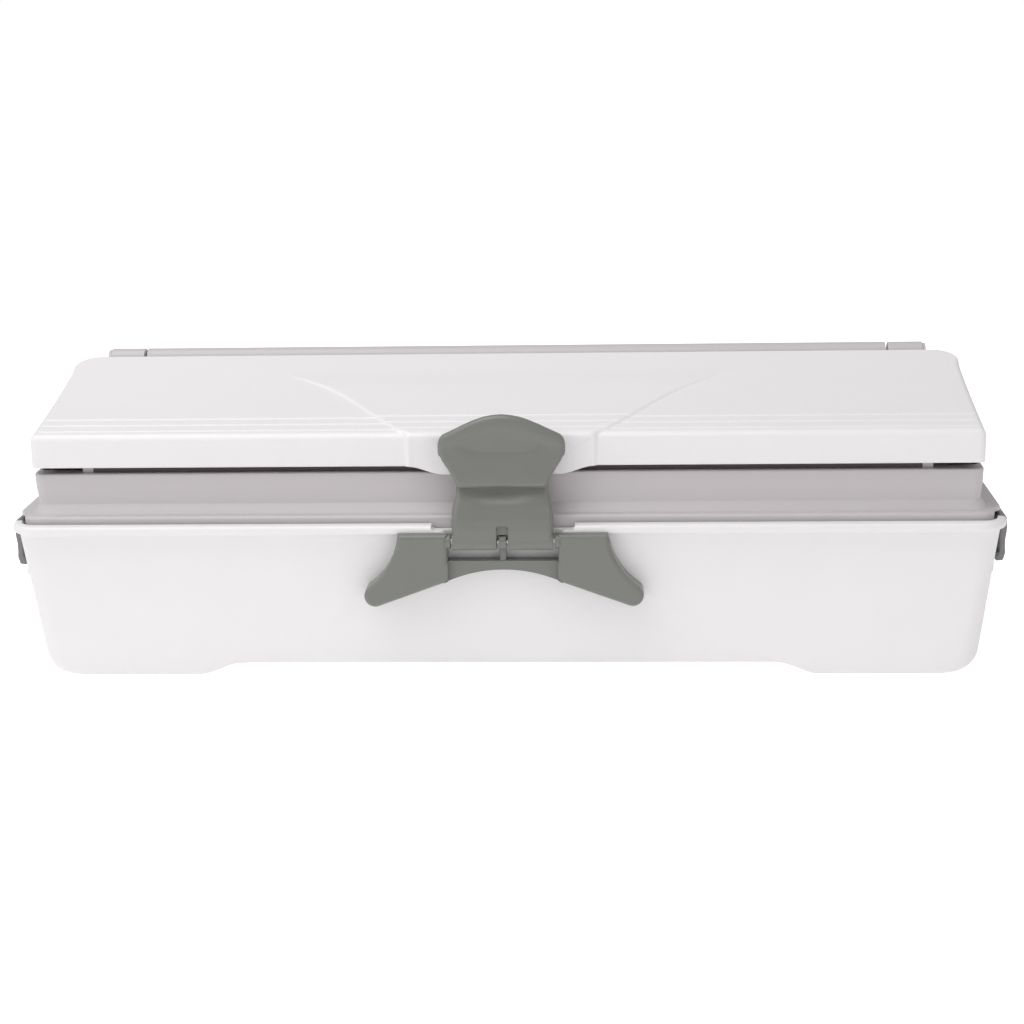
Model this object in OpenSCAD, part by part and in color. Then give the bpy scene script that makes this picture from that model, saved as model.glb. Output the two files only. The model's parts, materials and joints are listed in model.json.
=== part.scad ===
/* [Rolls] */
// Width of the film roll that the dispenser holds
film_w = 450; // [300:10:500]
// Diameter of the film wound on the upper roll
upper_film_d = 62; // [50:1:64]
// Diameter of the film wound on the lower roll
lower_film_d = 54; // [50:1:54]
// Outside diameter of a cardboard core
core_d = 43; // [42:0.5:46]

/* [Casing] */
// Height of the base's rim, less the 3 mm that its feet reach down
rim_top = 88; // [86:0.5:90]
// Depth of the casing over the base's rim
rim_depth = 152; // [150:1:156]
// Lean of the base's walls from upright, in degrees
wall_lean = 6.6; // [4:0.2:8]
// Thickness of the moulded walls
wall = 2.5; // [2:0.1:2.8]
// Height of the lid's front lower edge, less the same 3 mm
lid_edge = 118; // [117.8:0.1:119]

/* [Motion] */
// How far the latch lever stands back from its snapped position
latch_release = 3; // [2.6:0.1:6]
// How far each side clip stands out from its snapped position
clip_release = 4.5; // [4.4:0.1:8]

/* [Hidden] */
$fn = 64;

// from the middle of the base to the middle of the whole depth
frame_shift = 2.8;
// heights below are measured from a level that stands this far above the table
datum = 3;

// widths across the dispenser, all from the film's width
lid_w = film_w + 70;
tray_w = lid_w - 2;
rim_w = lid_w + 25;
base_w = rim_w - 7;            // over the base's walls just under the rim
skirt_w = lid_w + 12;          // tray skirt that drops inside the rim
tub_w = lid_w - 12;            // tray tub that carries the upper roll

// base
base_d = rim_depth - 11;
floor_z = 12;
rim_bottom = rim_top - 7.4;    // level at which the base's width and depth are taken
lip_bottom = rim_top - 5;
rim_r = 18;
foot_gap = 1;                  // the pads hold the feet this far off the table
foot_z = foot_gap - datum;
arch_z = 5.2;
arch_half = 149;
arch_run = 24;
end_round = 12;                // rounding of the base's lower ends
front_round = 3.5;
foot_x = base_w / 2 - 38;
foot_y = 42;
foot_x0 = arch_half + arch_run + 2;  // inner end of the hollow in each foot
rib_t = 2;
recess_half = 59;              // half length of the recess round each side clip
recess_x = base_w / 2 - 2.5;
recess_bottom = 57;
catch_z = 66;
catch_out = 1.5;

// latch
pin_r = 1.5;
running_gap = 0.05;
latch_y = -76.5;
latch_z = 79.5;
lever_half = 27.4;
knuckle_half = 2;
bracket_face_y = -80;
window_half = 30;
bracket_screw_x = [-46, 46];
bracket_screw_z = 67;

// tray
flange_top = rim_top + 3.8;
flange_bottom = rim_top + 0.6;
skirt_bottom = rim_top - 5;
skirt_d = rim_depth - 17;
slope_run = 4;
slope_rise = 5.2;
tray_front = -58;
tray_back = 61.5;
tray_top = lid_edge - 4;
tub_floor = 72;
tub_d = 108;
ledge_d = 10;
film_bar_y = -54.6;            // front of the bar that the film is cut against
film_bar_d = 5;
film_bar_top = lid_edge + 3.2;
strip_t = 0.3;

// hinge
hinge_y = 69;
hinge_z = 155;
barrel_r = 7;
rod_r = 2;
bar_half = lid_w / 2 - 40;
post_half = bar_half + 22;
back_top = 149.5;

// lid
lid_front = -62;
lid_back = 60;
lid_front_h = 18;
lid_rise = 23.4;
lid_run = 120;
bulge_half = 51.6;
bulge_out = 2;

// cutter
blade_y = -57.2;
blade_tip = lid_edge + 0.5;
holder_front = lid_front + wall + 0.15;
holder_back = holder_front + 3.9;
arm_back = -49.4;
arm_bottom = lid_edge + 6.2;
holder_top = lid_edge + 11;
screw_places = [for (i = [-2:2]) i * film_w * 0.225];
screw_z = lid_edge + 4;

// rolls
core_r = core_d / 2;
plug_r = 19;
axle_r = 6;
axle_in = film_w / 2 + 4;
axle_out = axle_in + 12;
cradle_x = axle_in + 6;
cradle_t = 3;
upper_y = 6;
upper_z = 107;
lower_y = 0;
lower_z = 42;

// side clips
clip_pin_x = recess_x + 4.7;
clip_pin_z = rim_top - 3.7;
clip_barrel_r = 2.8;
clip_half = 52;
lug_y = 36;                    // inner face of each lug that holds a clip's pin
lug_t = 4;
tab_half = 54;
tab_r = 7;
clip_pin_r = 1.25;
pin_hole_r = 1.27;

white = "#f0eef0";
pale_grey = "#c6c2c4";
grey_green = "#7f817a";
steel = "silver";
card = "#b08d62";

// How far the base's wall stands in at a height, compared with the wall under the rim
function wall_in(z) = (rim_bottom - z) * tan(wall_lean);
// Half depth of the base's outer wall at a height
function base_front(z) = base_d / 2 - wall_in(z);
// Height of the lid's top surface at a distance behind the lid's front face
function lid_top(run) = lid_edge + lid_front_h
    + lid_rise * (run / lid_run - 0.06 * sin(180 * run / lid_run));
// Height of the base's lower edge at a distance from the middle
function arch_height(x) = let (t = max(0, min(1, (x - arch_half) / arch_run)))
    foot_z + (arch_z - foot_z) * (1 + cos(180 * t)) / 2;
// How far a rounded lower edge stands in at a height above the bottom
function edge_in(r, h) = h >= r ? 0 : r - sqrt(r * r - (r - h) * (r - h));

// ---------------------------------------------------------------- shared shapes

// A rectangle with round corners, centred on the origin
module round_rect(w, d, r) {
    square([w - 2 * r, d], center = true);
    square([w, d - 2 * r], center = true);
    for (x = [-1, 1], y = [-1, 1])
        translate([x * (w / 2 - r), y * (d / 2 - r)]) circle(r);
}

// A flat plate with round corners
module plate(w, d, r, z0, z1) {
    translate([0, 0, z0]) linear_extrude(z1 - z0) round_rect(w, d, r);
}

// A flat plate with round corners, open in the middle
module ring(w, d, r, t, z0, z1) {
    translate([0, 0, z0]) linear_extrude(z1 - z0) difference() {
        round_rect(w, d, r);
        round_rect(w - 2 * t, d - 2 * t, max(0.5, r - t));
    }
}

// A profile swept round a rectangle with round corners. Its x runs outwards from the corner's centre
module around(w, d, r) {
    for (turn = [0, 180]) rotate(turn) {
        translate([w / 2 - r, d / 2 - r, 0]) rotate([90, 0, 0]) linear_extrude(d - 2 * r) children();
        rotate(90) translate([d / 2 - r, w / 2 - r, 0]) rotate([90, 0, 0])
            linear_extrude(w - 2 * r) children();
        translate([w / 2 - r, d / 2 - r, 0]) rotate_extrude(angle = 90) children();
        translate([r - w / 2, d / 2 - r, 0]) rotate(90) rotate_extrude(angle = 90) children();
    }
}

// Points along an arc, as [x, y]
function arc(x, y, r, from, to, steps = 6) =
    [for (i = [0:steps]) let (a = from + (to - from) * i / steps) [x + r * cos(a), y + r * sin(a)]];

// A box given by its two corners
module block(low, high) {
    translate(low) cube(high - low);
}

// A rod along X, centred at a place
module rod_x(r, length, y, z) {
    translate([-length / 2, y, z]) rotate([0, 90, 0]) cylinder(r = r, h = length);
}

// A rod along Y, centred at a place
module rod_y(r, length, x, z) {
    translate([x, length / 2, z]) rotate([90, 0, 0]) cylinder(r = r, h = length);
}

// A side profile, given as [y, z] points, drawn out along X about the middle
module along_x(width, points) {
    translate([-width / 2, 0, 0]) rotate([90, 0, 90]) linear_extrude(width) polygon(points);
}

// A front outline, given as [x, z] points, drawn out along Y between two depths
module along_y(y0, y1, points) {
    translate([0, y1, 0]) rotate([90, 0, 0]) linear_extrude(y1 - y0) polygon(points);
}

// Both ends of the dispenser
module both_ends() {
    children();
    mirror([1, 0, 0]) children();
}

// An open-topped cradle at each end that carries a roll's stub axles
module roll_cradles(y, z, bottom) {
    both_ends() difference() {
        block([cradle_x, y - 15, bottom], [cradle_x + cradle_t, y + 15, z + 8]);
        translate([cradle_x - 1, y, z]) rotate([0, 90, 0])
            cylinder(r = axle_r + running_gap, h = cradle_t + 2);
        block([cradle_x - 1, y - axle_r - running_gap, z],
            [cradle_x + cradle_t + 1, y + axle_r + running_gap, z + 20]);
    }
}

// ---------------------------------------------------------------- base

// The base's tapered body, shrunk by inset on every side, from bottom up to top
module base_body(inset, bottom, top) {
    hull() {
        for (share = [0, 0.04, 0.1, 0.2, 0.35, 0.6, 1]) {
            z = bottom + end_round * share;
            translate([0, 0, z]) linear_extrude(0.01) round_rect(
                base_w - 2 * (wall_in(z) + inset + edge_in(end_round, end_round * share)),
                base_d - 2 * (wall_in(z) + inset + edge_in(front_round, end_round * share)),
                10, $fn = 32);
        }
        translate([0, 0, top - 0.01]) linear_extrude(0.01) round_rect(
            base_w - 2 * (wall_in(top) + inset), base_d - 2 * (wall_in(top) + inset),
            12 - inset, $fn = 32);
    }
}

// The rim: a rounded band that stands out all round the top of the wall
module base_rim() {
    around(rim_w, rim_depth, rim_r) polygon(concat(
        [[rim_r - 6, lip_bottom - 1.6], [rim_r - 5, lip_bottom - 1.6], [rim_r - 4.4, lip_bottom - 0.5],
            [rim_r - 3.4, lip_bottom], [rim_r - 0.7, lip_bottom], [rim_r, lip_bottom + 0.7]],
        arc(rim_r - 2.2, rim_top - 2.2, 2.2, 0, 90), [[rim_r - 6, rim_top]]));
}

// The space under the middle of the base, with a foot left at each end
module under_arch() {
    steps = 12;
    edge = [for (i = [0:steps]) arch_half + arch_run * i / steps];
    right = [for (x = edge) [x, arch_height(x)]];
    left = [for (i = [steps:-1:0]) [-edge[i], arch_height(edge[i])]];
    end = base_w / 2;
    along_y(-rim_depth / 2, rim_depth / 2,
        concat([[-end, foot_z - 1], [-end, foot_z]], left, right, [[end, foot_z], [end, foot_z - 1]]));
}

// The moulded lower casing: roll chamber, rim, feet, cradles and clip catches
module base_shell() color(white) {
    difference() {
        union() {
            difference() {
                union() {
                    base_body(0, foot_z, rim_top);
                    base_rim();
                }
                base_body(wall, floor_z, rim_top + 1);
            }
            // thickening behind each clip recess
            both_ends() block([recess_x - wall, -recess_half - 2, recess_bottom + 0.5],
                [recess_x - 0.4, recess_half + 2, rim_top - 2]);
            roll_cradles(lower_y, lower_z, floor_z - 1);
        }
        under_arch();
        // hollow feet, with a rib and a solid seat left for each pad
        both_ends() difference() {
            block([foot_x0, -54, foot_z - 1], [base_w / 2 - 22, 54, floor_z - wall]);
            for (y = [-1, 1]) translate([foot_x, y * foot_y, foot_z]) cylinder(r = 9, h = floor_z);
            block([foot_x0 + 8, -54, foot_z], [foot_x0 + 8 + rib_t, 54, floor_z]);
        }
        // clip recess in each end wall
        both_ends() {
            block([recess_x, -recess_half, recess_bottom], [rim_w, recess_half, rim_top + 1]);
            block([recess_x - wall - 1, -recess_half, rim_top - 2.5],
                [recess_x + 1, recess_half, rim_top + 1]);
        }
        // notch in the front rim where the lever passes
        block([-37.5, -rim_depth, rim_top - 3], [37.5, -base_front(rim_top) - 0.2, rim_top + 1]);
        block([-window_half - 1.5, -rim_depth, rim_bottom - 1],
            [window_half + 1.5, -base_front(rim_bottom) - 0.2, rim_top + 1]);
        for (x = bracket_screw_x) translate([x, -base_d / 2 + 8, bracket_screw_z])
            rotate([90, 0, 0]) cylinder(r = 2.2, h = 16);
    }
    // ridge that each clip's foot catches under
    both_ends() along_y(-clip_half, clip_half, [[recess_x - 1, catch_z],
        [recess_x + catch_out, catch_z], [recess_x + catch_out, catch_z + 1], [recess_x - 1, catch_z + 5]]);
}

// Four soft pads set in the feet
module foot_pads() color("dimgray")
    for (x = [-1, 1], y = [-1, 1])
        translate([x * foot_x, y * foot_y, -datum]) cylinder(r = 7, h = foot_gap);

// ---------------------------------------------------------------- latch

// The winged outline of the bracket, as a front view
module bracket_outline() {
    difference() {
        union() {
            polygon([[-56.3, 84], [56.3, 84], [76, 62], [73.6, 45.4], [68.5, 44.6], [30, 58.4],
                [-30, 58.4], [-68.5, 44.6], [-73.6, 45.4], [-76, 62]]);
            for (x = [-1, 1]) translate([x * 71.2, 50.3]) circle(6);
        }
        // hollow outer edges of the wings
        for (x = [-1, 1]) translate([x * 88.9, 84]) circle(32.6, $fn = 160);
        for (x = [-1, 1]) translate([x * 71.2, 50.3]) difference() {
            translate([x * 15, -4]) square([30, 20], center = true);
            circle(6);
        }
        // arch under the middle
        translate([0, 64.6 - 75]) circle(75, $fn = 180);
    }
}

// The fixed bracket on the base's front: two wings, a bar across and a pin knuckle
module latch_bracket() color(grey_green) {
    difference() {
        union() {
            // wings and bar, lying along the leaning wall
            difference() {
                translate([0, bracket_face_y + 10, 0]) rotate([90, 0, 0])
                    linear_extrude(10) bracket_outline();
                block([-window_half, -100, 69.2], [window_half, -60, 100]);
                block([-window_half, -100, 40], [window_half, bracket_face_y + 4, 100]);
            }
            // ears and middle knuckle that carry the pin
            for (x = [-1, 1]) translate([x * (lever_half + 2.3), 0, 0]) rod_x(4, 3, latch_y, latch_z);
            rod_x(4, 2 * knuckle_half, latch_y, latch_z);
            block([-knuckle_half, latch_y + 0.5, 65.2], [knuckle_half, latch_y + 4, latch_z]);
        }
        rod_x(pin_r + 0.02, 2 * lever_half + 12, latch_y, latch_z);
        for (x = bracket_screw_x) translate([x, -60, bracket_screw_z]) rotate([90, 0, 0])
            cylinder(r = 1.95, h = 17);
        // the back follows the base's leaning wall, and clears the rim
        along_x(200, [[-base_front(0) - 0.1, 0], [-base_front(rim_bottom - 0.5) - 0.1, rim_bottom - 0.5],
            [-rim_depth / 2 - 0.1, rim_bottom - 0.5], [-rim_depth / 2 - 0.1, 100], [0, 100], [0, 0]]);
    }
}

// Two screws that hold the bracket, put in from inside the base
module bracket_screws() color(steel)
    for (x = bracket_screw_x) {
        head_y = -base_front(bracket_screw_z - 5) + wall / cos(wall_lean) + 0.05;
        translate([x, head_y, bracket_screw_z]) rotate([90, 0, 0]) cylinder(r = 1.9, h = 11);
        translate([x, head_y + 2.2, bracket_screw_z]) rotate([90, 0, 0]) difference() {
            cylinder(r = 4, h = 2.2);
            translate([0, 0, -1]) cylinder(r = 1.5, h = 2.2, $fn = 6);
        }
    }

// The steel pin that the lever turns on
module latch_pin() color(steel) rod_x(pin_r, 2 * lever_half + 7, latch_y, latch_z);

// Side profile of the lever when it is snapped shut
lever_profile = [[-80.9, 78], [-81.4, 82], [-81.2, 87], [-80.2, 93], [-78.2, 99], [-75.4, 104.5],
    [-73, 109], [-73.2, 110], [-77.6, 110.4], [-78.3, 111.4], [-77.8, 115], [-76, 121], [-74.6, 128],
    [-74, 135], [-73.8, 142], [-73.2, 146], [-71.6, 148.2], [-69.3, 148.6], [-67.8, 147.2],
    [-67, 140], [-66.6, 130], [-66.2, 122.4], [-62.9, 121.4], [-62.9, 120], [-66.4, 118],
    [-67.8, 112], [-70, 104], [-71.6, 96], [-72.1, 88], [-71.9, 80]];

// Front outline of the lever, from the barrel up to the thumb head
lever_side = [[27.4, 70], [27.6, 84], [27.6, 92], [27.1, 98], [25.2, 105], [24.9, 109.4],
    [26, 113.5], [28.8, 118.5], [32.4, 124], [34, 128], [34.4, 133], [33.8, 137], [31.8, 139.6],
    [26, 142.4], [18, 146.6], [9, 149], [0, 150]];

// The thumb lever that snaps over the lid's bulge
module latch_lever() color(grey_green)
    turned_x(latch_release, latch_y, latch_z) difference() {
        union() {
            intersection() {
                along_x(80, lever_profile);
                along_y(-100, -50, concat(lever_side,
                    [for (i = [len(lever_side) - 2:-1:0]) [-lever_side[i][0], lever_side[i][1]]]));
            }
            rod_x(4.8, 2 * lever_half, latch_y, latch_z);
        }
        rod_x(pin_r + running_gap, 100, latch_y, latch_z);
        // the nib is only as wide as the pocket it enters
        for (x = [-1, 1]) translate([x * 35, 0, 0])
            along_x(40, [[-66.3, 117.9], [-66.1, 122.6], [-60, 122.6], [-60, 117.9]]);
        // slot for the bracket's middle knuckle
        block([-knuckle_half - 1, -90, 70], [knuckle_half + 1, -60, latch_z + 7.2]);
    }

// Children turned about an X axis through a place
module turned_x(angle, y, z) {
    translate([0, y, z]) rotate([angle, 0, 0]) translate([0, -y, -z]) children();
}

// ---------------------------------------------------------------- tray

// Shoulder that runs out from the tray's wall, rounds over and drops as a skirt
module tray_shoulder() {
    around(skirt_w, skirt_d, 10) polygon(concat(
        [[0, flange_top - wall], [10 - wall, flange_top - wall],
            [10 - wall, skirt_bottom], [10, skirt_bottom]],
        arc(10 - 1.8, flange_top - 1.8, 1.8, 0, 90), [[0, flange_top]]));
    // slope between the wall and the shoulder
    translate([0, (tray_back + tray_front) / 2, 0]) around(tray_w, tray_back - tray_front, 6)
        polygon([[6 - wall, flange_top - 1], [6 + slope_run, flange_top - 1],
            [6 + slope_run, flange_top], [6, flange_top + slope_rise], [6 - wall, flange_top + slope_rise]]);
}

// The middle moulding: upper roll tub, shoulder, front ledge, back wall and hinge posts
module tray() color(pale_grey) {
    wall_mid = (tray_back + tray_front) / 2;
    wall_d = tray_back - tray_front;
    difference() {
        union() {
            tray_shoulder();
            translate([0, wall_mid, 0]) ring(tray_w, wall_d, 6, wall, flange_bottom, tray_top);
            plate(skirt_w - 20, skirt_d - 20, 4, flange_top - wall, flange_top);
            plate(tub_w, tub_d, 12, tub_floor, flange_top);
            // ledge that the film runs out over
            block([-tray_w / 2 + 1, tray_front + 0.5, tray_top - 5],
                [tray_w / 2 - 1, tray_front + ledge_d, tray_top]);
            // back wall up to the hinge, with a post at each end
            block([-post_half - 2, tray_back - wall, flange_top - 1],
                [post_half + 2, tray_back, back_top]);
            // bar that the film runs over and is cut against, inside the lid's front
            block([-film_w / 2 - 8, film_bar_y, tray_top - 1],
                [film_w / 2 + 8, film_bar_y + film_bar_d, film_bar_top]);
            both_ends() tray_hinge_post();
            both_ends() clip_tab();
        }
        plate(tub_w - 2 * wall, tub_d - 2 * wall, 12 - wall, tub_floor + wall, tray_top - 5.5);
        // open middle above the tub, out to the walls
        translate([0, wall_mid, 0])
            plate(tray_w - 2 * wall, wall_d - 2 * wall, 4, flange_top, tray_top - 5.5);
        block([-tray_w / 2 + wall, tray_front + ledge_d, flange_top],
            [tray_w / 2 - wall, tray_back - wall, lid_edge]);
        // slot that lets the lower roll's film up past the tub
        block([-film_w / 2 - 3, -tub_d / 2 + wall + 1, tub_floor - 1],
            [film_w / 2 + 3, -tub_d / 2 + wall + 7, tub_floor + wall + 1]);
        rod_x(rod_r + 0.02, 2 * post_half + 10, hinge_y, hinge_z);
        both_ends() block([skirt_w / 2 - wall - 1, -recess_half - 2, skirt_bottom - 1],
            [skirt_w / 2 + 1, recess_half + 2, flange_bottom]);
        both_ends() rod_y(pin_hole_r, 2 * recess_half, clip_pin_x, clip_pin_z);
    }
    roll_cradles(upper_y, upper_z, tub_floor + 1);
    // upstand inside each end of the lid, which closes the gap under its edge
    both_ends() block([lid_w / 2 - wall - 3.1, tray_front + ledge_d - 2, flange_top - 1],
        [lid_w / 2 - wall - 0.8, 38, lid_edge + 3]);
}

// A knuckle for the hinge rod, on a web down to the back wall
module tray_hinge_post() {
    translate([bar_half + 1.5, 0, 0]) {
        translate([0, hinge_y, hinge_z]) rotate([0, 90, 0])
            cylinder(r = barrel_r, h = post_half - bar_half - 1.5);
        rotate([90, 0, 90]) linear_extrude(post_half - bar_half - 1.5) polygon([
            [tray_back - wall, 122], [tray_back, 122], [hinge_y + 6, hinge_z - 4],
            [hinge_y, hinge_z], [tray_back - wall, hinge_z - 3]]);
    }
}

// Tab over the base's end wall, with two lugs for a side clip's pin
module clip_tab() {
    out = clip_pin_x - 0.6;
    translate([0, 0, flange_bottom]) linear_extrude(flange_top - 0.6 - flange_bottom)
        polygon(concat([[tray_w / 2 - 1, -tab_half]], arc(out - tab_r, tab_r - tab_half, tab_r, -90, 0),
            arc(out - tab_r, tab_half - tab_r, tab_r, 0, 90), [[tray_w / 2 - 1, tab_half]]));
    for (y = [lug_y, -lug_y - lug_t]) {
        translate([clip_pin_x, y + lug_t, clip_pin_z]) rotate([90, 0, 0])
            cylinder(r = clip_barrel_r - 0.1, h = lug_t);
        block([clip_pin_x - clip_barrel_r + 0.1, y, clip_pin_z], [out, y + lug_t, flange_top - 1]);
    }
}

// Tacky strips that keep the film's end: one on the bar's top, one low on its front, under the screw heads
module tray_grip_strip() color("dimgray") {
    block([-film_w / 2 - 2, film_bar_y + 0.6, film_bar_top],
        [film_w / 2 + 2, film_bar_y + film_bar_d - 0.4, film_bar_top + 0.7]);
    block([-film_w / 2 - 2, film_bar_y - strip_t, tray_top],
        [film_w / 2 + 2, film_bar_y, lid_edge + 1.4]);
}

// Steel rod through all the hinge knuckles
module hinge_rod() color(steel) rod_x(rod_r, 2 * post_half - 1, hinge_y, hinge_z);

// Caps that close the hinge posts over the rod's ends
module hinge_rod_caps() color(pale_grey)
    both_ends() translate([post_half, hinge_y, hinge_z]) rotate([0, 90, 0])
        cylinder(r = barrel_r - 0.8, h = 1.6);

// ---------------------------------------------------------------- side clips

// Pins that the side clips turn on
module clip_pins() color(steel)
    both_ends() rod_y(clip_pin_r, 2 * clip_half - 1, clip_pin_x, clip_pin_z);

// The right clip, hanging from its pin with its foot under the base's catch
module clip_body() {
    x = recess_x;
    outline = [[x + 7.5, 84.3], [x + 7.7, 80.5], [x + 7.2, 77], [x + 6.3, 73], [x + 5.9, 68.5],
        [x + 5.9, 65], [x + 4.4, 60.8], [x + 0.3, 60.8], [x + 0.3, 64.2], [x + 1.2, catch_z - 0.6],
        [x + 2.6, catch_z - 0.4], [x + 2.9, 74], [x + 3.4, 79], [x + 3, 84.3]];
    translate([clip_pin_x, 0, clip_pin_z]) rotate([0, -clip_release, 0])
        translate([-clip_pin_x, 0, -clip_pin_z]) difference() {
            union() {
                along_y(-clip_half, clip_half, outline);
                rod_y(clip_barrel_r, 2 * clip_half, clip_pin_x, clip_pin_z);
            }
            rod_y(clip_pin_r + running_gap, 4 * clip_half, clip_pin_x, clip_pin_z);
            // notches that the lugs stand in
            for (y = [lug_y - 0.7, -lug_y - lug_t - 0.7])
                block([clip_pin_x - 6, y, clip_pin_z - 4], [clip_pin_x + 6, y + lug_t + 1.4, rim_top]);
        }
}

module side_clip_right() color(grey_green) clip_body();

module side_clip_left() color(grey_green) mirror([1, 0, 0]) clip_body();

// ---------------------------------------------------------------- lid

// Side profile of the lid's outside, shrunk by inset
function lid_profile(inset) = concat(
    [[lid_front + inset, lid_edge - (inset > 0 ? 1 : 0)]],
    arc(lid_front + 4, lid_edge + lid_front_h - 4, 4 - inset, 180, 112.5, 3),
    [for (run = [4:8:lid_run - 4]) [lid_front + run, lid_top(run) - inset]],
    [[lid_back - inset, lid_top(lid_run) - inset - 0.3],
        [lid_back - inset, lid_edge - (inset > 0 ? 1 : 0)]]);

// The lid's block, shrunk by inset, with square front corners and round rear ones
module lid_body(inset) {
    w = lid_w - 2 * inset;
    rear_r = 15 - inset;
    intersection() {
        along_x(w, lid_profile(inset));
        translate([0, 0, lid_edge - 2]) linear_extrude(60) {
            translate([-w / 2, lid_front]) square([w, lid_back - inset - rear_r - lid_front]);
            translate([-w / 2 + rear_r, lid_front]) square([w - 2 * rear_r, lid_back - inset - lid_front]);
            for (x = [-1, 1]) translate([x * (w / 2 - rear_r), lid_back - inset - rear_r]) circle(rear_r);
        }
    }
}

// The raised middle of the lid's front, which dips behind the lever
module lid_bulge() {
    dip = 4.6;
    half = [for (i = [0:10]) let (x = bulge_half - i * 2)
        [x, lid_edge - dip * (1 - cos(180 * i / 10)) / 2]];
    along_y(lid_front - bulge_out, lid_front + wall, concat(
        [[-bulge_half, lid_edge + lid_front_h - 4]],
        [for (p = half) [-p[0], p[1]]],
        [for (i = [len(half) - 1:-1:0]) half[i]],
        [[bulge_half, lid_edge + lid_front_h - 4]]));
}

// The hinged lid: front band, sloping top with three grooves, and end walls
module lid() color(white) {
    difference() {
        union() {
            difference() {
                lid_body(0);
                lid_body(wall);
            }
            lid_bulge();
        }
        // grooves along the top, just behind the front edge
        for (run = [7, 16, 25]) translate([0, lid_front + run, lid_top(run) + 1.4])
            rod_x(2, lid_w - 16, 0, 0);
        // blind holes for the blade holder's screws
        for (x = screw_places) translate([x, lid_front + wall + 1, screw_z]) rotate([90, 0, 0])
            cylinder(r = 1.55, h = 2);
        // pocket for the lever's nib
        block([-17, lid_front - bulge_out - 1, 118.4], [17, lid_front - 0.2, 122.6]);
        // the back is open where the tray's back wall stands
        block([-post_half - 4, lid_back - wall - 0.5, lid_edge - 3], [post_half + 4, lid_back + 1, 152.7]);
    }
}

// The grey bar along the lid's back that turns on the hinge rod
module lid_hinge_bar() color(pale_grey) {
    difference() {
        union() {
            rod_x(barrel_r, 2 * bar_half, hinge_y, hinge_z);
            block([-bar_half, 50, 150.6], [bar_half, hinge_y - 4, 152.6]);
        }
        for (i = [0:3]) translate([(i - 1.5) * bar_half / 2, 0, 0])
            rod_x(barrel_r - 2, bar_half / 2 - 6, hinge_y, hinge_z);
        rod_x(rod_r + running_gap, 3 * bar_half, hinge_y, hinge_z);
    }
}

// Toothed strip of steel that cuts the film
module cutter_blade() color(steel) {
    pitch = 3;
    tooth = 2.6;
    count = round(film_w / pitch) + 1;
    start = -count * pitch / 2;
    teeth = [for (i = [0:count - 1])
        each [[start + i * pitch, blade_tip + tooth], [start + (i + 0.5) * pitch, blade_tip]]];
    difference() {
        along_y(blade_y - 0.25, blade_y + 0.25, concat(teeth, [[-start, blade_tip + tooth],
            [-start, holder_top - 2], [start, holder_top - 2]]));
        for (x = screw_places) rod_y(1.6, 200, x, screw_z);
    }
}

// Channel that holds the blade behind the lid's front, with an arm over the film bar
module blade_holder() color(white)
    difference() {
        along_x(film_w + 14, [[holder_front, lid_edge + 1.4], [holder_back, lid_edge + 1.4],
            [holder_back, arm_bottom], [arm_back, arm_bottom], [arm_back, holder_top],
            [holder_front, holder_top]]);
        block([-film_w / 2 - 3, blade_y - 0.3, lid_edge], [film_w / 2 + 3, blade_y + 0.3, holder_top - 1.9]);
        for (x = screw_places) rod_y(1.6, 200, x, screw_z);
    }

// Screws through the holder and the blade, into the lid's front
module blade_screws() color(steel)
    for (x = screw_places) {
        translate([x, holder_back, screw_z]) rotate([90, 0, 0]) cylinder(r = 1.5, h = 4.9);
        translate([x, holder_back + 0.7, screw_z]) rotate([90, 0, 0]) cylinder(r = 2.1, h = 0.7);
    }

// Soft strip that presses the film onto the bar
module lid_press_strip() color("dimgray")
    block([-film_w / 2 - 2, film_bar_y + 0.6, film_bar_top + 1.1],
        [film_w / 2 + 2, film_bar_y + film_bar_d - 0.4, arm_bottom]);

// ---------------------------------------------------------------- rolls

module tube_x(outer_r, inner_r, length, y, z) {
    difference() {
        rod_x(outer_r, length, y, z);
        rod_x(inner_r, length + 2, y, z);
    }
}

// A cardboard core
module roll_core(y, z) color(card) tube_x(core_r, plug_r, film_w, y, z);

// Film wound on a core
module roll_film(d, y, z) color("aliceblue") tube_x(d / 2, core_r, film_w, y, z);

// Plugs in both ends of a core, each with a flange and a stub axle
module core_plugs(y, z) color(pale_grey)
    both_ends() translate([film_w / 2, y, z]) rotate([0, 90, 0]) difference() {
        union() {
            translate([0, 0, -18]) cylinder(r = plug_r, h = 18);
            cylinder(r = core_r + 1, h = 2.5);
            cylinder(r = axle_r, h = axle_out - film_w / 2);
        }
        translate([0, 0, -19]) cylinder(r = plug_r - 2.5, h = 17);
        translate([0, 0, -5]) cylinder(r = axle_r - 2.5, h = axle_out - film_w / 2 + 2);
    }

module upper_roll_core() roll_core(upper_y, upper_z);
module upper_film() roll_film(upper_film_d, upper_y, upper_z);
module upper_core_plugs() core_plugs(upper_y, upper_z);
module lower_roll_core() roll_core(lower_y, lower_z);
module lower_film() roll_film(lower_film_d, lower_y, lower_z);
module lower_core_plugs() core_plugs(lower_y, lower_z);

// The sub-parts are drawn about the middle of the base, from the datum level. The frame's origin is
// on the table, under the middle of the whole dispenser with its lever and hinge
module placed() translate([0, frame_shift, datum]) children();

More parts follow.
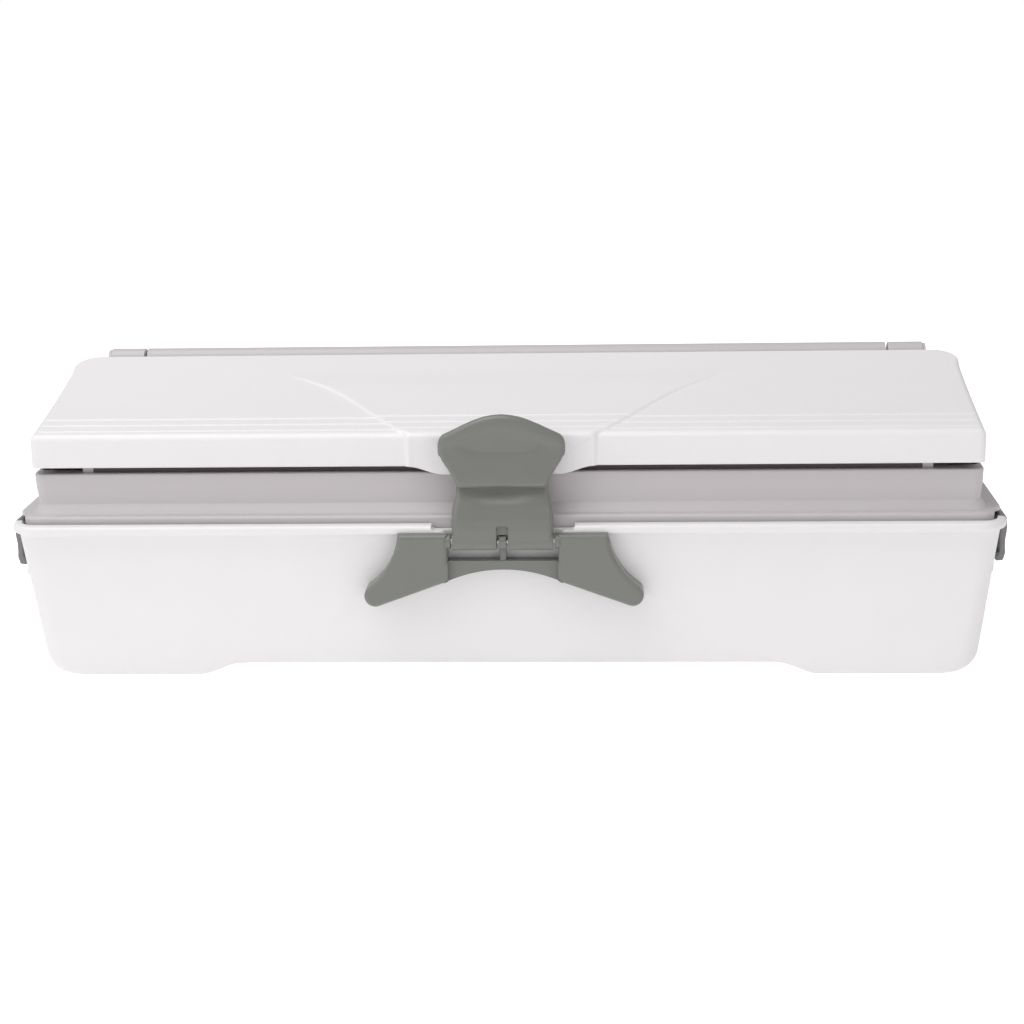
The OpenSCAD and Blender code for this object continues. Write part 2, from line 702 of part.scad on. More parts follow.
placed() base_shell();
placed() foot_pads();
placed() latch_bracket();
placed() bracket_screws();
placed() latch_pin();
placed() latch_lever();
placed() tray();
placed() tray_grip_strip();
placed() hinge_rod();
placed() hinge_rod_caps();
placed() clip_pins();
placed() side_clip_left();
placed() side_clip_right();
placed() lid();
placed() lid_hinge_bar();
placed() cutter_blade();
placed() blade_holder();
placed() blade_screws();
placed() lid_press_strip();
placed() upper_roll_core();
placed() upper_film();
placed() upper_core_plugs();
placed() lower_roll_core();
placed() lower_film();
placed() lower_core_plugs();
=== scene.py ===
"""The looks of the cling film dispenser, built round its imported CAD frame.

Lengths are millimetres until a mesh is made. X runs along the rolls, Y from the latch to the hinge, Z up.
"""
import json
import math

import bmesh
import bpy
from mathutils import Matrix, Vector


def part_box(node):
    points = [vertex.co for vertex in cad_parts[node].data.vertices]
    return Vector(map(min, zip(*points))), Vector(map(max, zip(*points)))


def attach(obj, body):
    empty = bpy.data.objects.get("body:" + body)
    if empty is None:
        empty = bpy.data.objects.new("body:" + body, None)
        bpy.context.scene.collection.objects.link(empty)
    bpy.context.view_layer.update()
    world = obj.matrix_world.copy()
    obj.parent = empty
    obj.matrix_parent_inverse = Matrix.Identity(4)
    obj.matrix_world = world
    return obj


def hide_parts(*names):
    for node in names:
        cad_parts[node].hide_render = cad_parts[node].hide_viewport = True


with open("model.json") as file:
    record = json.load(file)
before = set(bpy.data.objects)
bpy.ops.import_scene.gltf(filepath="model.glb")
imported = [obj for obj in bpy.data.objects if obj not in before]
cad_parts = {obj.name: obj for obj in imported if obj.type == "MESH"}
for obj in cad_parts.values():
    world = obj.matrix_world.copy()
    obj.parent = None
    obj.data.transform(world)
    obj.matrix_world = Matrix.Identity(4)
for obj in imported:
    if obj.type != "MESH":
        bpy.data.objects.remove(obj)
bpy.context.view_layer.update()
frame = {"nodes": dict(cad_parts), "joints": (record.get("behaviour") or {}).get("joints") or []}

MM = 0.001
RIM_TOP = 88.0
JOINTS = {joint["name"]: joint for joint in frame["joints"]}

rim_low, rim_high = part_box("base_shell")
# the casing is drawn about the middle of its rim, from a level a little above the table
HOME = Vector((0, (rim_low.y + rim_high.y) / 2, rim_high.z)) / MM - Vector((0, 0, RIM_TOP))


def span(node):
    """Lowest and highest corner of a CAD node, in casing millimetres."""
    low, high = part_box(node)
    return low / MM - HOME, high / MM - HOME


def pivot(joint):
    """Place of a joint, in casing millimetres."""
    return Vector(JOINTS[joint]["pos_m"]) / MM - HOME


lid_low, lid_high = span("lid")
bar_low = span("lid_hinge_bar")[0]
bracket_low = span("latch_bracket")[0]
latch_axis = pivot("latch_pivot")


# ---------------------------------------------------------------- materials

def node_tree(name):
    """A new material, its tree and its main shader."""
    material = bpy.data.materials.new(name)
    material.use_nodes = True
    tree = material.node_tree
    return material, tree, tree.nodes["Principled BSDF"]


def noise(tree, scale, detail=2.0, stretch=(1, 1, 1)):
    """Noise over the object's own place, with scale in patches a metre."""
    place = tree.nodes.new("ShaderNodeTexCoord")
    mapping = tree.nodes.new("ShaderNodeMapping")
    mapping.inputs["Scale"].default_value = stretch
    texture = tree.nodes.new("ShaderNodeTexNoise")
    texture.inputs["Scale"].default_value = scale
    texture.inputs["Detail"].default_value = detail
    tree.links.new(place.outputs["Object"], mapping.inputs["Vector"])
    tree.links.new(mapping.outputs["Vector"], texture.inputs["Vector"])
    return texture.outputs["Fac"]


def remap(tree, value, low, high):
    """A value from 0 to 1 spread over another range."""
    node = tree.nodes.new("ShaderNodeMapRange")
    node.inputs["To Min"].default_value = low
    node.inputs["To Max"].default_value = high
    tree.links.new(value, node.inputs["Value"])
    return node.outputs["Result"]


def mix_colours(tree, factor, first, second):
    """A colour between two others."""
    node = tree.nodes.new("ShaderNodeMix")
    node.data_type = "RGBA"
    node.inputs["A"].default_value = (*first, 1)
    node.inputs["B"].default_value = (*second, 1)
    tree.links.new(factor, node.inputs["Factor"])
    return node.outputs["Result"]


def shade(colour, amount):
    """A colour made lighter or darker."""
    return tuple(min(1.0, c * amount) for c in colour)


def bump(tree, height, strength, distance):
    """A surface normal disturbed by a height, over edges that are slightly round."""
    edge = tree.nodes.new("ShaderNodeBevel")
    edge.samples = 4
    edge.inputs["Radius"].default_value = 0.35 * MM
    node = tree.nodes.new("ShaderNodeBump")
    node.inputs["Strength"].default_value = strength
    node.inputs["Distance"].default_value = distance * MM
    tree.links.new(height, node.inputs["Height"])
    tree.links.new(edge.outputs["Normal"], node.inputs["Normal"])
    return node.outputs["Normal"]


def plastic(name, colour, roughness, grain=0.12, grain_size=0.5, mottle=0.012):
    """Moulded plastic: a faint mottle in its colour, a fine grain and an uneven gloss."""
    material, tree, shader = node_tree(name)
    patches = noise(tree, 35, 3)
    tree.links.new(
        mix_colours(tree, patches, shade(colour, 1 - mottle), shade(colour, 1 + mottle)),
        shader.inputs["Base Color"])
    tree.links.new(
        remap(tree, noise(tree, 140, 4), roughness - 0.05, roughness + 0.05),
        shader.inputs["Roughness"])
    grain_height = noise(tree, 1 / (grain_size * MM), 2)
    tree.links.new(bump(tree, grain_height, grain, 0.03), shader.inputs["Normal"])
    return material


def brushed_steel(name, along):
    """Steel with fine lines along one axis."""
    material, tree, shader = node_tree(name)
    stretch = [1.0, 1.0, 1.0]
    stretch[along] = 0.02
    lines = noise(tree, 3000, 3, stretch)
    tree.links.new(mix_colours(tree, lines, (0.50, 0.50, 0.51), (0.66, 0.66, 0.67)),
        shader.inputs["Base Color"])
    tree.links.new(remap(tree, lines, 0.22, 0.38), shader.inputs["Roughness"])
    shader.inputs["Metallic"].default_value = 1.0
    tree.links.new(bump(tree, lines, 0.1, 0.01), shader.inputs["Normal"])
    return material


WHITE = plastic("white_moulding", (0.872, 0.852, 0.866), 0.34)
PALE_GREY = plastic("pale_grey_moulding", (0.580, 0.548, 0.562), 0.36)
GREY_GREEN = plastic("grey_green_moulding", (0.196, 0.202, 0.183), 0.3, grain=0.14)
CLIP_GREY = plastic("clip_grey_moulding", (0.215, 0.215, 0.212), 0.3, grain=0.14)
# Dark brownish rubber. It is partly the foot pads' own colour and partly painted shade: its tone stands in
# for the shadow inside the gap under the lid's front edge, where the grip strip shows.
RUBBER_AND_GAP_SHADE = plastic("rubber_and_painted_gap_shade", (0.09, 0.07, 0.072), 0.75, grain=0.5, grain_size=0.8)
STEEL_ALONG_X = brushed_steel("brushed_steel_x", 0)
STEEL_ALONG_Y = brushed_steel("brushed_steel_y", 1)


def card_board(name):
    """Brown card with paper fibres."""
    material, tree, shader = node_tree(name)
    fibres = noise(tree, 900, 4, (0.25, 1, 1))
    tree.links.new(mix_colours(tree, fibres, (0.33, 0.22, 0.125), (0.47, 0.335, 0.20)),
        shader.inputs["Base Color"])
    tree.links.new(remap(tree, fibres, 0.75, 0.9), shader.inputs["Roughness"])
    tree.links.new(bump(tree, fibres, 0.3, 0.04), shader.inputs["Normal"])
    return material


def wound_film(name):
    """Clear film wound tight: glossy, milky in bulk, with fine lines round the roll."""
    material, tree, shader = node_tree(name)
    lines = noise(tree, 700, 4, (1, 0.03, 0.03))
    bands = noise(tree, 40, 2, (1, 0.1, 0.1))
    tree.links.new(mix_colours(tree, bands, (0.60, 0.655, 0.67), (0.74, 0.775, 0.785)),
        shader.inputs["Base Color"])
    tree.links.new(remap(tree, lines, 0.12, 0.3), shader.inputs["Roughness"])
    tree.links.new(bump(tree, lines, 0.35, 0.05), shader.inputs["Normal"])
    shader.inputs["Subsurface Weight"].default_value = 0.15
    shader.inputs["Subsurface Radius"].default_value = (0.004, 0.004, 0.004)
    shader.inputs["Coat Weight"].default_value = 0.4
    shader.inputs["Coat Roughness"].default_value = 0.08
    return material


CARD = card_board("roll_card")
FILM = wound_film("wound_film")


# ---------------------------------------------------------------- mesh helpers

SHARP_ANGLE = 35       # degrees between faces above which an edge stays sharp
AXLE_R = 6.0           # the rolls' stub axles
SEAT_R = AXLE_R + 0.15
CRADLE_X = 236.5       # middle of a cradle's plate
SCREW_X = 46           # the two screws that hold the bracket
SCREW_Z = 67


def solid(points, faces):
    """A closed mesh object from points in casing millimetres."""
    mesh = bpy.data.meshes.new("solid")
    mesh.from_pydata([(Vector(p) + HOME) * MM for p in points], [], faces)
    work = bmesh.new()
    work.from_mesh(mesh)
    bmesh.ops.recalc_face_normals(work, faces=work.faces)
    work.to_mesh(mesh)
    work.free()
    thing = bpy.data.objects.new("solid", mesh)
    bpy.context.scene.collection.objects.link(thing)
    return thing


def combined(thing, join=(), cut=()):
    """A solid with others joined to it and then cut from it."""
    tools = list(join) + list(cut)
    for n, tool in enumerate(tools):
        step = thing.modifiers.new("step", "BOOLEAN")
        step.operation = "UNION" if n < len(join) else "DIFFERENCE"
        step.solver = "MANIFOLD"
        step.object = tool
    graph = bpy.context.evaluated_depsgraph_get()
    whole = bpy.data.meshes.new_from_object(thing.evaluated_get(graph))
    thing.modifiers.clear()
    thing.data = whole
    for tool in tools:
        bpy.data.objects.remove(tool)
    return thing


def turned_about(thing, angle, axis, centre):
    """A solid turned by degrees about an axis through a place."""
    middle = Matrix.Translation((centre + HOME) * MM)
    thing.data.transform(middle @ Matrix.Rotation(math.radians(angle), 4, axis) @ middle.inverted())
    return thing


def finish_piece(name, thing, material, body, replaced):
    """A solid made into a named piece that rides on a body and stands for CAD nodes."""
    thing.name = thing.data.name = name
    mesh = thing.data
    mesh.shade_smooth()
    mesh.set_sharp_from_angle(angle=math.radians(SHARP_ANGLE))
    mesh.materials.clear()
    mesh.materials.append(material)
    even = thing.modifiers.new("even_normals", "WEIGHTED_NORMAL")
    even.keep_sharp = True
    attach(thing, body)
    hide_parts(*replaced)


def smooth(t):
    """An S-curve from 0 to 1."""
    t = max(0.0, min(1.0, t))
    return t * t * (3 - 2 * t)


def round_corner(x, y, rect, radii):
    """A point of a rectangle, moved so that the rectangle's corners are round."""
    x0, x1, y0, y1 = rect
    r = radii[0] if y < (y0 + y1) / 2 else radii[1]
    centre_x = max(x0 + r, min(x1 - r, x))
    centre_y = max(y0 + r, min(y1 - r, y))
    a, b = x - centre_x, y - centre_y
    if a == 0 or b == 0:
        return x, y
    reach = max(abs(a), abs(b))
    turn = math.pi / 4 * min(abs(a), abs(b)) / reach
    near, far = reach * math.sin(turn), reach * math.cos(turn)
    if abs(a) >= abs(b):
        return centre_x + math.copysign(far, a), centre_y + math.copysign(near, b)
    return centre_x + math.copysign(near, a), centre_y + math.copysign(far, b)


def shell(columns, rows, first, rings, last):
    """Points and faces of a closed shell.

    It is a sheet of columns by rows, then rings round the sheet's border, then a second sheet.
    """
    points, faces = [], []

    def sheet(place):
        start = len(points)
        points.extend(place(i, j) for j in range(rows) for i in range(columns))
        number = lambda i, j: start + j * columns + i
        for j in range(rows - 1):
            for i in range(columns - 1):
                faces.append((number(i, j), number(i + 1, j), number(i + 1, j + 1), number(i, j + 1)))
        return number

    border = [(i, 0) for i in range(columns)] + [(columns - 1, j) for j in range(1, rows)]
    border += [(i, rows - 1) for i in range(columns - 2, -1, -1)] + [(0, j) for j in range(rows - 2, 0, -1)]
    number = sheet(first)
    loops = [[number(i, j) for i, j in border]]
    for place in rings:
        start = len(points)
        points.extend(place(i, j) for i, j in border)
        loops.append(list(range(start, start + len(border))))
    number = sheet(last)
    loops.append([number(i, j) for i, j in border])
    for upper, lower in zip(loops, loops[1:]):
        for n in range(len(border)):
            m = (n + 1) % len(border)
            faces.append((upper[n], lower[n], lower[m], upper[m]))
    return points, faces


def steps(start, end, count):
    """Evenly spaced values from start to end, both included."""
    return [start + (end - start) * n / (count - 1) for n in range(count)]


def grid_lines(edges, inner):
    """Places of grid lines: some keep their distance from either end, the rest stand still."""
    return [(-1, e) for e in edges] + [(0, v) for v in inner] + [(1, e) for e in reversed(edges)]


def line_at(line, low, high):
    """Place of a grid line between two ends."""
    side, value = line
    return low + value if side < 0 else high - value if side > 0 else value


def loop(xs, ys, rect, r, height):
    """A function that places grid points on a round-cornered rectangle at a height."""
    def place(i, j):
        x = line_at(xs[i], rect[0], rect[1])
        y = line_at(ys[j], rect[2], rect[3])
        px, py = round_corner(x, y, rect, (r, r))
        return px, py, height(px, py, i, j) if callable(height) else height
    return place


def both_signs(values):
    """Values and their opposites, in order."""
    return sorted({sign * value for value in values for sign in (-1, 1)})


def on_side(side, a, b):
    """Two distances from the middle as a low and a high place on one side of it."""
    return min(side * a, side * b), max(side * a, side * b)


def prism(outline, axis, low, high, soft=0.0, count=4):
    """An outline drawn out along an axis, 0 for X, 1 for Y or 2 for Z, with its end edges round."""
    area = sum(a[0] * b[1] - b[0] * a[1] for a, b in zip(outline, outline[1:] + outline[:1]))
    turn = 1 if area > 0 else -1
    inward = []
    for n, here in enumerate(outline):
        sides = []
        for a, b in ((outline[n - 1], here), (here, outline[(n + 1) % len(outline)])):
            along = (Vector(b) - Vector(a)).normalized()
            sides.append(Vector((-along.y, along.x)) * turn)
        inward.append((sides[0] + sides[1]) / max(0.4, 1 + sides[0].dot(sides[1])))
    layers = [(low, 0.0), (high, 0.0)]
    if soft:
        bend = [(soft * (1 - math.cos(a)), soft * (1 - math.sin(a)))
            for a in steps(0, math.pi / 2, count + 1)]
        layers = [(low + w, inset) for w, inset in bend] + [(high - w, inset) for w, inset in reversed(bend)]
    points = []
    for w, inset in layers:
        for (u, v), way in zip(outline, inward):
            place = [u + way.x * inset, v + way.y * inset]
            place.insert(axis, w)
            points.append(tuple(place))
    n = len(outline)
    faces = [tuple(range(n)), tuple(range(len(points) - 1, len(points) - n - 1, -1))]
    for layer in range(len(layers) - 1):
        start = layer * n
        faces += [(start + k, start + (k + 1) % n, start + n + (k + 1) % n, start + n + k) for k in range(n)]
    return solid(points, faces)


def box_between(low, high, soft=0.0):
    """A box from its two corners, with the edges of its X ends round."""
    outline = [(low[1], low[2]), (high[1], low[2]), (high[1], high[2]), (low[1], high[2])]
    if soft:
        outline = rounded(outline, soft)
    return prism(outline, 0, low[0], high[0], soft)


def mirrored(half):
    """Half an outline and its mirror image on the other side of the middle."""
    return half + [(-u, v) for u, v in reversed(half)]


def circle(u, v, r, count=32):
    """A circle as an outline."""
    return [(u + r * math.cos(2 * math.pi * n / count), v + r * math.sin(2 * math.pi * n / count))
        for n in range(count)]


def arc(u, v, r, start, end, count):
    """Points along an arc between two angles in degrees."""
    return [(u + r * math.cos(math.radians(a)), v + r * math.sin(math.radians(a)))
        for a in steps(start, end, count)]


def rounded(outline, radius, count=5):
    """An outline with its corners made round, by one radius or by one for each corner."""
    radii = radius if isinstance(radius, list) else [radius] * len(outline)
    result = []
    for n, corner in enumerate(outline):
        if not radii[n]:
            result.append(tuple(corner))
            continue
        here = Vector(corner)
        a = (Vector(outline[n - 1]) - here).normalized()
        b = (Vector(outline[(n + 1) % len(outline)]) - here).normalized()
        half = a.angle(b) / 2
        centre = here + (a + b).normalized() * (radii[n] / math.sin(half))
        start = here + a * (radii[n] / math.tan(half)) - centre
        end = here + b * (radii[n] / math.tan(half)) - centre
        for k in range(count + 1):
            result.append(tuple(centre + start.lerp(end, k / count).normalized() * radii[n]))
    return result


def spun(profile, y, z, count=72):
    """A closed profile of (x, radius) points turned round an axis along X."""
    points = [(x, y + r * math.sin(2 * math.pi * n / count), z + r * math.cos(2 * math.pi * n / count))
        for n in range(count) for x, r in profile]
    size = len(profile)
    faces = []
    for n in range(count):
        m = (n + 1) % count
        faces += [(n * size + k, n * size + (k + 1) % size, m * size + (k + 1) % size, m * size + k)
            for k in range(size)]
    return solid(points, faces)


def cradle(x, y, z, bottom):
    """A plate with an open-topped seat for a stub axle."""
    seat = [(y + SEAT_R, z + 8)] + arc(y, z, SEAT_R, 0, -180, 13) + [(y - SEAT_R, z + 8)]
    outline = [(y - 15, bottom), (y + 15, bottom)] + arc(y + 12, z + 5, 3, 0, 90, 5) + seat
    return prism(outline + arc(y - 12, z + 5, 3, 90, 180, 5), 0, x - 1.5, x + 1.5, 0.4, 2)


# ---------------------------------------------------------------- lid

LID_WALL = 2.5
BULGE_OUT = 2.0
BULGE_DIP = 4.6
BULGE_HALF = 51.2
BULGE_SHIFT = -1.0
FRONT_HEIGHT = 18.0
EDGE_R = 3.8
REAR_EDGE_R = 1.2
FRONT_CORNER_R = 3.6
REAR_CORNER_R = 14.0
GROOVES = (6.6, 15.6, 24.8)
GROOVE_HALF = 1.5
GROOVE_DEPTH = 0.6
CREASE_WIDTH = 2.6
CREASE_RISE = 1.1
CREASE_END = 92.0
CREASE_START = 51.6     # half width of the raised middle at the front
EDGE_STEPS = [0, 0.25, 0.7, 1.3, 2.1, 3.0, EDGE_R]

lid_half = lid_high.x
lid_front = lid_low.y + BULGE_OUT
lid_back = lid_high.y
lid_edge = lid_low.z + BULGE_DIP
lid_depth = lid_back - lid_front
lid_climb = lid_high.z - lid_edge - FRONT_HEIGHT
opening_half = span("hinge_rod")[1].x + 3.0
opening_top = bar_low.z + 4.6


def crease_half(run):
    """Half width of the raised middle of the lid at a distance behind its front."""
    far = max(0, run - 50) / 42
    spread = 0.655 * min(max(run, 0), CREASE_END + 6)
    return CREASE_START + 2.2 * smooth(run / 5) + spread + 15 * min(far, 1.15) ** 2


def groove_depth(run):
    """Depth of the three grooves along the lid's front."""
    depth = 0.0
    for centre in GROOVES:
        away = abs(run - centre) / GROOVE_HALF
        if away < 1:
            depth = GROOVE_DEPTH * (1 - away ** 2) ** 0.6
    return depth


def plain_top(run):
    """Height of the lid's top without its grooves and creases."""
    t = min(max(run, 0) / lid_depth, 1.0)
    return lid_edge + FRONT_HEIGHT + lid_climb * (t - 0.06 * math.sin(math.pi * t))


def lid_top(x, run):
    """Height of the lid's outer top."""
    inside = smooth((crease_half(run) + CREASE_WIDTH / 2 - abs(x - BULGE_SHIFT)) / CREASE_WIDTH)
    rise = CREASE_RISE * inside * (1 - smooth((run - 70) / (CREASE_END + 6 - 70)))
    return plain_top(run) + rise - groove_depth(run) * smooth((lid_half - 2 - abs(x)) / 3)


def lid_columns():
    """Functions that give each column's place from the distance behind the front."""
    edge = EDGE_STEPS + [5.5, 8, 11, REAR_CORNER_R]
    start = lid_half - REAR_CORNER_R

    def side(sign):
        """Lines from one end of the lid to its middle."""
        fold = lambda run: crease_half(run) + sign * BULGE_SHIFT
        lines = [lambda run, e=e: sign * (lid_half - e) for e in edge]
        lines += [lambda run, s=s: sign * (start + (fold(run) + CREASE_WIDTH / 2 - start) * s)
            for s in steps(0, 1, 14)[1:]]
        lines += [lambda run, d=d: sign * (fold(run) + d * CREASE_WIDTH)
            for d in (0.33, 0.17, 0, -0.17, -0.33, -0.5)]
        lines += [lambda run, s=s: sign * (crease_half(run) - CREASE_WIDTH / 2) * s + BULGE_SHIFT
            for s in steps(1, 0, 40)[1:]]
        return lines

    return side(-1) + side(1)[-2::-1]


def lid_rows():
    """Distances of the rows behind the lid's front."""
    across = both_signs([0, 0.4, 0.75, 0.92, 1, 1.25])
    grooves = [centre + GROOVE_HALF * s for centre in GROOVES for s in across]
    top = steps(29, lid_depth - REAR_CORNER_R, 26)
    rear = [lid_depth - e for e in EDGE_STEPS + [5.5, 8, 11]]
    return sorted(EDGE_STEPS + [r for r in grooves if r > EDGE_R] + top + rear)


def lid_piece():
    columns, rows = lid_columns(), lid_rows()
    outer_rect = (-lid_half, lid_half, lid_front, lid_back)
    outer_radii = (FRONT_CORNER_R, REAR_CORNER_R)

    def inset_of(x, run):
        return min(lid_half - abs(x), run, lid_depth - run)

    def bulge(x, z):
        """How far the middle of the front stands out."""
        away = abs(x - BULGE_SHIFT)
        fold = lid_edge + 18.4 - (53.1 - away) * 0.6
        out = BULGE_OUT * smooth((BULGE_HALF + 1.8 - away) / 3.6)
        return out - 0.75 * smooth((fold - z) / 1.8 + 0.5) * smooth((BULGE_HALF - away) / 4)

    def outside(i, j):
        run = rows[j]
        x = columns[i](run)
        inset = inset_of(x, run)
        px, py = round_corner(x, lid_front + run, outer_rect, outer_radii)
        r = EDGE_R + (REAR_EDGE_R - EDGE_R) * smooth((run - lid_depth + REAR_CORNER_R + 10) / 12)
        drop = r - math.sqrt(max(0, r ** 2 - (r - inset) ** 2)) if inset < r else 0
        z = lid_top(px, py - lid_front) - drop
        forward = bulge(px, z) * (1 - smooth(run / 5.5))
        return px, py - forward, z

    def bottom(x, run):
        """Height of the lid's lower edge."""
        if run > lid_depth / 2 and abs(x) < opening_half and run >= lid_depth - LID_WALL - 0.01:
            return opening_top
        if run > 3:
            return lid_edge
        return lid_edge - BULGE_DIP * smooth((BULGE_HALF - abs(x - BULGE_SHIFT)) / 20)

    def wall_ring(share, inset=0.0, lift=0.0):
        def place(i, j):
            run = rows[j]
            x = columns[i](run)
            rect = (-lid_half + inset, lid_half - inset, lid_front + inset, lid_back - inset)
            x = max(rect[0], min(rect[1], x))
            y = max(rect[2], min(rect[3], lid_front + run))
            radii = (max(0.4, FRONT_CORNER_R - inset), REAR_CORNER_R - inset)
            px, py = round_corner(x, y, rect, radii)
            top = lid_top(px, py - lid_front) - EDGE_R
            low = bottom(x, run) + lift
            z = top + (low - top) * share
            forward = bulge(px, z) if run == 0 and inset < 1 else 0
            return px, py - forward, z
        return place

    def inside(drop):
        def place(i, j):
            run = rows[j]
            x = columns[i](run)
            rect = (-lid_half + LID_WALL, lid_half - LID_WALL, lid_front + LID_WALL, lid_back - LID_WALL)
            cx = max(rect[0], min(rect[1], x))
            cy = max(rect[2], min(rect[3], lid_front + run))
            px, py = round_corner(cx, cy, rect, (1.1, REAR_CORNER_R - LID_WALL))
            return px, py, plain_top(py - lid_front) - LID_WALL - 0.6 - drop
        return place

    walls = [wall_ring(s) for s in steps(0, 1, 17)[1:-1]]
    walls += [wall_ring(1, 0, 0.7), wall_ring(1, 0.2, 0.2), wall_ring(1, 0.7, 0)]
    walls += [wall_ring(1, LID_WALL - 0.4, 0), wall_ring(1, LID_WALL, 0.4), inside(1.5)]
    cover = solid(*shell(len(columns), len(rows), outside, walls, inside(0)))
    pocket = prism(rounded([(-17, lid_edge + 0.4), (17, lid_edge + 0.4), (17, lid_edge + 4.6),
        (-17, lid_edge + 4.6)], 1.0), 1, lid_front - BULGE_OUT - 1, lid_front - 0.2)
    combined(cover, cut=[pocket])
    finish_piece("lid_cover", cover, WHITE, "lid", ["lid"])


lid_piece()


# ---------------------------------------------------------------- base

WALL = 2.5
LEAN = math.tan(math.radians(6.6))
RIM_BOTTOM = 80.6
LIP_BOTTOM = 83.0
RIM_R = 18.0
FLOOR = 12.0
FOOT = -2.0
ARCH = 5.2
ARCH_HALF = 149.0
ARCH_RUN = 24.0
END_ROUND = 12.0
FRONT_ROUND = 3.5
SWEEP_IN = 0.9

rim_half = span("base_shell")[1].x
rim_deep = span("base_shell")[1].y
wall_half = rim_half - 3.5
wall_deep = rim_deep - 5.5
recess_x = wall_half - 2.5


def wall_in(z):
    """How far the base's wall stands in at a height, compared with the wall under the rim."""
    return (RIM_BOTTOM - z) * LEAN


def arch_height(x):
    """Height of the base's lower edge."""
    t = max(0.0, min(1.0, (abs(x) - ARCH_HALF) / ARCH_RUN))
    return FOOT + (ARCH - FOOT) * (1 + math.cos(math.pi * t)) / 2


def edge_in(r, h):
    """How far a rounded lower edge stands in at a height above the bottom."""
    return 0.0 if h >= r else r - math.sqrt(r * r - (r - h) ** 2)


def sweep_line(x):
    """Height of the soft fold that runs from the bracket's wings down to the feet."""
    if x > 74:
        return 8 + 37 * ((150 - x) / 76) ** 1.35
    return 45 + 22 * smooth((74 - x) / 50)


def sweep_in(x, z):
    """How far the lower middle of the front stands back behind that fold."""
    if abs(x) >= 150:
        return 0.0
    return SWEEP_IN * smooth((sweep_line(abs(x)) - z) / 6 + 0.5) * smooth((150 - abs(x)) / 5)


def base_casing():
    """The base's walls, floor and rolled rim as one closed sheet."""
    ends = [0, 1.2, 2.6, 4.2, 6, 8, 10.2, 12.5, 15.5, 19]
    middle = both_signs(steps(0, 71, 16) + steps(74, 146.5, 30) + steps(149, 173, 13) + steps(180, 222, 6))
    xs = grid_lines(ends, middle)
    ys = grid_lines(ends, steps(-36, 36, 9))

    def outer(level):
        """The outer wall at a level, bent up to follow the arch between the feet."""
        h = level - FOOT
        end, front = edge_in(END_ROUND, h) + wall_in(level), wall_in(level)
        rect = (end - wall_half, wall_half - end, front - wall_deep, wall_deep - front)

        def place(i, j):
            x, y, _ = loop(xs, ys, rect, 12, 0)(i, j)
            rise = (arch_height(x) - FOOT) / (ARCH - FOOT)
            tuck = edge_in(FRONT_ROUND, h) * (1 - rise) + edge_in(0.9, h) * rise
            y *= 1 - tuck / (wall_deep - front)
            z = level + (arch_height(x) - FOOT) * (1 - smooth(h / 28))
            if j == 0:
                y += sweep_in(x, z)
            return x, y, z
        return place

    def rim(inset, z, r=RIM_R):
        rect = (inset - rim_half, rim_half - inset, inset - rim_deep, rim_deep - inset)
        return loop(xs, ys, rect, max(r - inset, 1), z)

    def blend(share):
        """A hollow curve from the wall out to the rim's lower edge."""
        def place(i, j):
            low, high = outer(RIM_BOTTOM + 0.4)(i, j), rim(1.8, LIP_BOTTOM)(i, j)
            return (low[0] + (high[0] - low[0]) * share ** 2, low[1] + (high[1] - low[1]) * share ** 2,
                low[2] + (high[2] - low[2]) * (1 - (1 - share) ** 2))
        return place

    def inner(z, more=0.0):
        h = z - FLOOR
        end = wall_in(z) + WALL + edge_in(END_ROUND, h) + more
        front = wall_in(z) + WALL + edge_in(FRONT_ROUND, h) + more
        rect = (end - wall_half, wall_half - end, front - wall_deep, wall_deep - front)
        return loop(xs, ys, rect, 9.5, z)

    low_levels = [END_ROUND * share for share in (0.03, 0.08, 0.16, 0.27, 0.42, 0.6, 0.8)]
    rings = [outer(FOOT + h) for h in low_levels]
    rings += [outer(z) for z in steps(10, 50, 17) + steps(54, RIM_BOTTOM, 7)]
    rings += [blend(share) for share in (0.25, 0.5, 0.75)]
    rings += [rim(1.0, LIP_BOTTOM + 0.05), rim(0.45, LIP_BOTTOM + 0.3), rim(0.12, LIP_BOTTOM + 0.8),
        rim(0, LIP_BOTTOM + 1.5), rim(0, RIM_TOP - 2.4)]
    rings += [rim(2.2 * (1 - math.cos(a)), RIM_TOP - 2.2 * (1 - math.sin(a)))
        for a in steps(0.2, math.pi / 2, 6)]
    rings += [inner(RIM_TOP, -0.6), inner(RIM_TOP - 0.2, -0.2), inner(RIM_TOP - 0.7)]
    rings += [inner(z) for z in (60, 40, FLOOR + END_ROUND)]
    rings += [inner(FLOOR + h) for h in reversed(low_levels)]
    return solid(*shell(len(xs), len(ys), outer(FOOT), rings, inner(FLOOR)))


